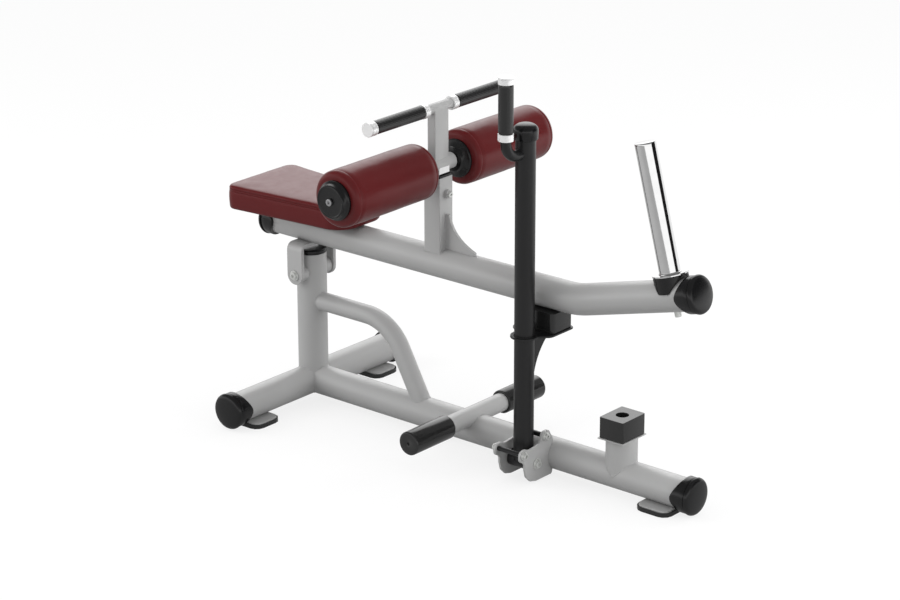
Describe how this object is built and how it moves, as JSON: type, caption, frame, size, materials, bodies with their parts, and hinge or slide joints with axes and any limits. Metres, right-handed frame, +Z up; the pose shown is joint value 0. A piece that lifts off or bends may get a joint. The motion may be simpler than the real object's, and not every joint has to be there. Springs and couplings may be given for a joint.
{
  "type": "seated calf raise machine",
  "caption": "Plate-loaded seated calf raise machine: pivoting arm with seat, thigh rollers and weight horn, foot bar, and a swinging safety lever on a tubular base.",
  "frame": {"origin": "middle of the machine's bounding box, on the floor", "axes": "+X towards the weight horn, the way the user faces; +Y to the user's left; +Z up"},
  "size_m": [1.3962, 0.7846, 1.0122],
  "materials": {
    "silver_paint": "satin silver-grey powder coat",
    "black_paint": "satin black powder coat",
    "black_plastic": "moulded, half gloss",
    "black_rubber": "matt",
    "maroon_vinyl": "grained vinyl over foam",
    "chrome": "mirror",
    "bright_aluminium": "turned, bright",
    "zinc_plating": "zinc plated",
    "plain_steel": "plain"
  },
  "bodies": {
    "frame": {"base_tube": "silver_paint", "rear_cross_tube": "silver_paint", "rear_post": "silver_paint", "post_plug": "black_plastic", "pivot_bush": "plain_steel", "brace_tube": "silver_paint", "foot_bar": "silver_paint", "near_foot_sleeve": "black_rubber", "far_foot_sleeve": "black_rubber", "stop_post": "silver_paint", "stop_block": "black_rubber", "stop_block_bolt": "zinc_plating", "rear_bracket_plate": "silver_paint", "front_bracket_plate": "silver_paint", "inner_stop_bolt": "zinc_plating", "outer_stop_bolt": "zinc_plating", "lever_pivot_bolt": "zinc_plating", "base_end_cap": "black_plastic", "near_cross_end_cap": "black_plastic", "far_cross_end_cap": "black_plastic", "front_foot_pad": "black_rubber", "near_foot_pad": "black_rubber", "far_foot_pad": "black_rubber"},
    "arm": {"arm_tube": "silver_paint", "arm_rear_cap": "black_plastic", "arm_front_cap": "black_plastic", "pivot_clevis": "silver_paint", "arm_pivot_bolt": "zinc_plating", "seat_plate": "black_paint", "seat_cushion": "maroon_vinyl", "lower_upright": "silver_paint", "guide_collar": "black_plastic", "clamp_screw": "zinc_plating", "horn_saddle": "black_plastic", "weight_horn": "chrome"},
    "carriage": {"slide_tube": "chrome", "carriage_head": "silver_paint", "near_grip": "black_rubber", "far_grip": "black_rubber", "near_inner_collar": "bright_aluminium", "far_inner_collar": "bright_aluminium", "near_end_collar": "bright_aluminium", "far_end_collar": "bright_aluminium", "roller_axle": "plain_steel"},
    "near_roller": {"near_roller_pad": "maroon_vinyl", "near_roller_core": "plain_steel", "near_roller_outer_hub": "black_plastic", "near_roller_inner_hub": "black_plastic"},
    "far_roller": {"far_roller_pad": "maroon_vinyl", "far_roller_core": "plain_steel", "far_roller_outer_hub": "black_plastic", "far_roller_inner_hub": "black_plastic"},
    "lever": {"lever_tube": "black_paint", "lever_bush": "plain_steel", "lever_cap": "black_plastic", "lever_shelf": "black_paint", "rest_block": "black_rubber", "lever_grip": "black_rubber", "lever_grip_lower_collar": "bright_aluminium", "lever_grip_top_collar": "bright_aluminium"}
  },
  "joints": [
    {"name": "arm_pivot", "type": "hinge", "parent": "frame", "child": "arm", "pos_m": [-0.5155, 0, 0.342], "axis": [0, -1, 0], "range_deg": [0, 12]},
    {"name": "lever_swing", "type": "hinge", "parent": "frame", "child": "lever", "pos_m": [0.2385, -0.0808, 0.0497], "axis": [1, 0, 0], "range_deg": [0, 25]},
    {"name": "thigh_pad_height", "type": "slide", "parent": "arm", "child": "carriage", "axis": [0, 0, 1], "range_m": [0, 0.12]},
    {"name": "near_roller_spin", "type": "hinge", "parent": "carriage", "child": "near_roller", "pos_m": [-0.0945, -0.2195, 0.703], "axis": [0, 1, 0], "continuous": true},
    {"name": "far_roller_spin", "type": "hinge", "parent": "carriage", "child": "far_roller", "pos_m": [-0.0945, 0.2195, 0.703], "axis": [0, 1, 0], "continuous": true}
  ],
  "couplings": [
    {"joint": "lever_swing", "follows": "arm_pivot", "ratio": 2.08}
  ]
}
